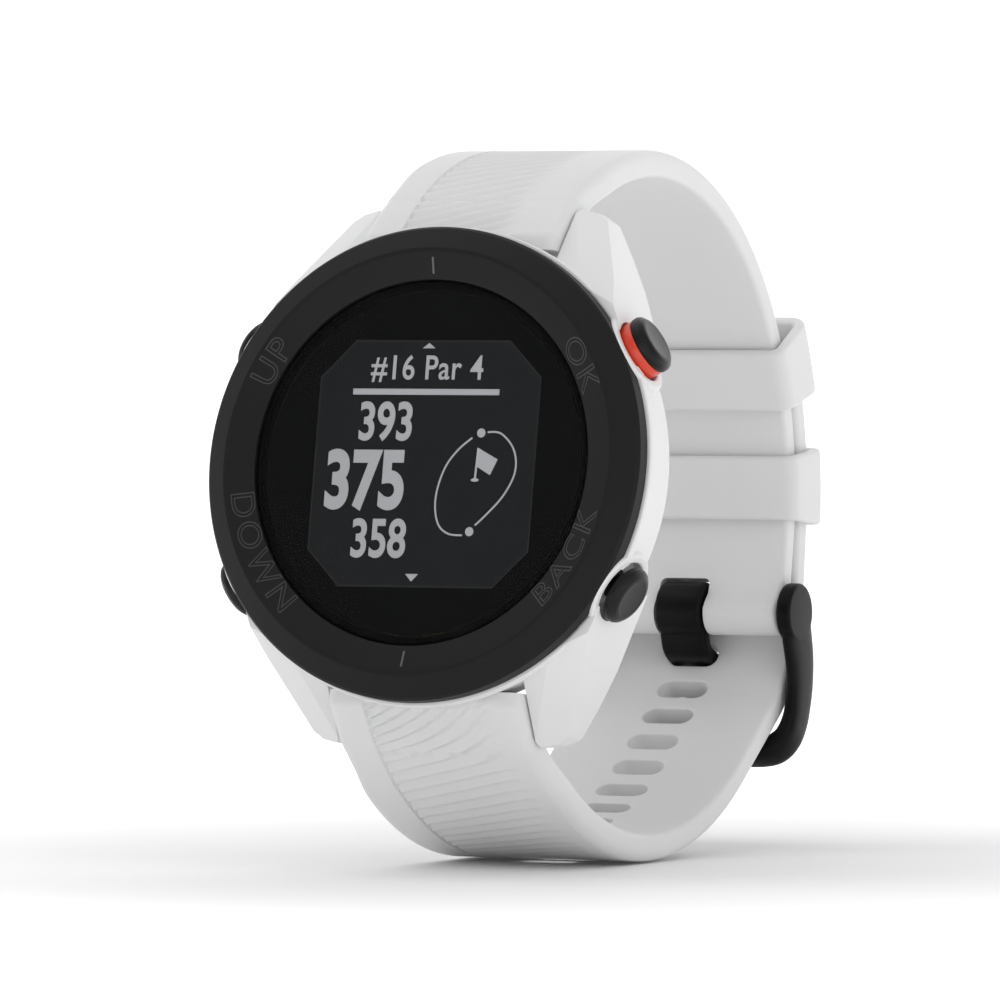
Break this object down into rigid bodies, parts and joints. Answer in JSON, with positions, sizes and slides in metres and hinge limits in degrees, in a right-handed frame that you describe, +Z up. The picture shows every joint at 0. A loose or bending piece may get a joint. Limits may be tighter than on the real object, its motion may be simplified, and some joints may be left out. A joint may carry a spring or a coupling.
{
  "type": "golf gps watch",
  "caption": "Round golf GPS watch with an eight-sided display under glass, side push buttons and a buckled slotted silicone strap closed round an empty wrist opening.",
  "frame": {"origin": "middle of the wrist opening, on the plane halfway between the strap edges; the middle of the dial is 34 mm in front of it along the dial normal", "axes": "+X to the 3 o'clock side along the wrist, +Z up, the dial faces -Y and leans back by 10 degrees about X, as the watch is worn on an upright holder"},
  "size_m": [0.0444, 0.0696, 0.0664],
  "materials": {
    "case_white": "satin moulded polymer",
    "bezel_black": "satin moulded polymer",
    "lens_glass": "polished",
    "adhesive": "matte",
    "mask_black": "gloss print",
    "display": "gloss",
    "backlight_white": "gloss",
    "frame_grey": "matte",
    "gold_contact": "gold plated",
    "board_green": "satin solder mask",
    "can_steel": "satin",
    "chip_black": "matte",
    "flex_amber": "satin",
    "battery_silver": "foil pouch",
    "pad_foam": "matte foam",
    "gasket_rubber": "matte",
    "cover_dark": "fine texture",
    "screw_steel": "satin",
    "button_black": "satin",
    "collar_red": "gloss",
    "clip_steel": "satin",
    "strap_white": "silk silicone",
    "bar_steel": "polished",
    "buckle_black": "satin",
    "keeper_white": "silk silicone"
  },
  "bodies": {
    "watch": {"case_middle": "case_white", "bezel": "bezel_black", "lens": "lens_glass", "lens_adhesive": "adhesive", "lens_border": "mask_black", "display_panel": "display", "backlight": "backlight_white", "inner_frame": "frame_grey", "gps_antenna": "gold_contact", "main_board": "board_green", "shield_can": "can_steel", "board_chips": "chip_black", "switch_flex": "flex_amber", "side_switches": "can_steel", "button_sleeves": "can_steel", "battery": "battery_silver", "battery_pad": "pad_foam", "case_gasket": "gasket_rubber", "back_cover": "cover_dark", "back_screws": "screw_steel", "charging_contacts": "gold_contact", "strap_buckle_half": "strap_white", "strap_tail_half": "strap_white", "bar_tube_upper": "bar_steel", "bar_tube_lower": "bar_steel", "bar_pin_upper": "bar_steel", "bar_pin_lower": "bar_steel", "buckle_bar": "bar_steel"},
    "ok_button": {"button_ok": "button_black", "ok_collar": "collar_red", "clip_ok": "clip_steel", "seal_ok": "gasket_rubber"},
    "back_button": {"button_back": "button_black", "clip_back": "clip_steel", "seal_back": "gasket_rubber"},
    "up_button": {"button_up": "button_black", "clip_up": "clip_steel", "seal_up": "gasket_rubber"},
    "down_button": {"button_down": "button_black", "clip_down": "clip_steel", "seal_down": "gasket_rubber"},
    "upper_release": {"release_lever_upper": "bar_steel"},
    "lower_release": {"release_lever_lower": "bar_steel"},
    "upper_keeper": {"keeper_upper": "keeper_white"},
    "lower_keeper": {"keeper_lower": "keeper_white"},
    "buckle_frame": {"buckle_frame": "buckle_black"},
    "buckle_tongue": {"buckle_tongue": "buckle_black"}
  },
  "joints": [
    {"name": "ok_press", "type": "slide", "parent": "watch", "child": "ok_button", "axis": [-0.866, -0.0868, -0.4924], "range_m": [0, 0.0006], "stiffness_N_per_m": 1500, "springref_m": -0.0006},
    {"name": "back_press", "type": "slide", "parent": "watch", "child": "back_button", "axis": [-0.866, 0.0868, 0.4924], "range_m": [0, 0.0006], "stiffness_N_per_m": 1500, "springref_m": -0.0006},
    {"name": "up_press", "type": "slide", "parent": "watch", "child": "up_button", "axis": [0.866, -0.0868, -0.4924], "range_m": [0, 0.0006], "stiffness_N_per_m": 1500, "springref_m": -0.0006},
    {"name": "down_press", "type": "slide", "parent": "watch", "child": "down_button", "axis": [0.866, 0.0868, 0.4924], "range_m": [0, 0.0006], "stiffness_N_per_m": 1500, "springref_m": -0.0006},
    {"name": "upper_release_slide", "type": "slide", "parent": "watch", "child": "upper_release", "axis": [-1, 0, 0], "range_m": [0, 0.0015], "stiffness_N_per_m": 800, "springref_m": -0.001},
    {"name": "lower_release_slide", "type": "slide", "parent": "watch", "child": "lower_release", "axis": [-1, 0, 0], "range_m": [0, 0.0015], "stiffness_N_per_m": 800, "springref_m": -0.001},
    {"name": "upper_keeper_slide", "type": "hinge", "parent": "watch", "child": "upper_keeper", "pos_m": [0, -0.00535, 0.00247], "axis": [1, 0, 0], "range_deg": [-4.5, 25]},
    {"name": "lower_keeper_slide", "type": "hinge", "parent": "watch", "child": "lower_keeper", "pos_m": [0, -0.00535, 0.00247], "axis": [1, 0, 0], "range_deg": [-1.5, 4]},
    {"name": "buckle_lift", "type": "hinge", "parent": "watch", "child": "buckle_frame", "pos_m": [0, 0.02365, -0.00925], "axis": [1, 0, 0], "range_deg": [0, 4]},
    {"name": "tongue_lift", "type": "hinge", "parent": "watch", "child": "buckle_tongue", "pos_m": [0, 0.02365, -0.00925], "axis": [1, 0, 0], "range_deg": [0, 4]}
  ],
  "couplings": [
    {"joint": "tongue_lift", "follows": "buckle_lift", "ratio": 1}
  ]
}
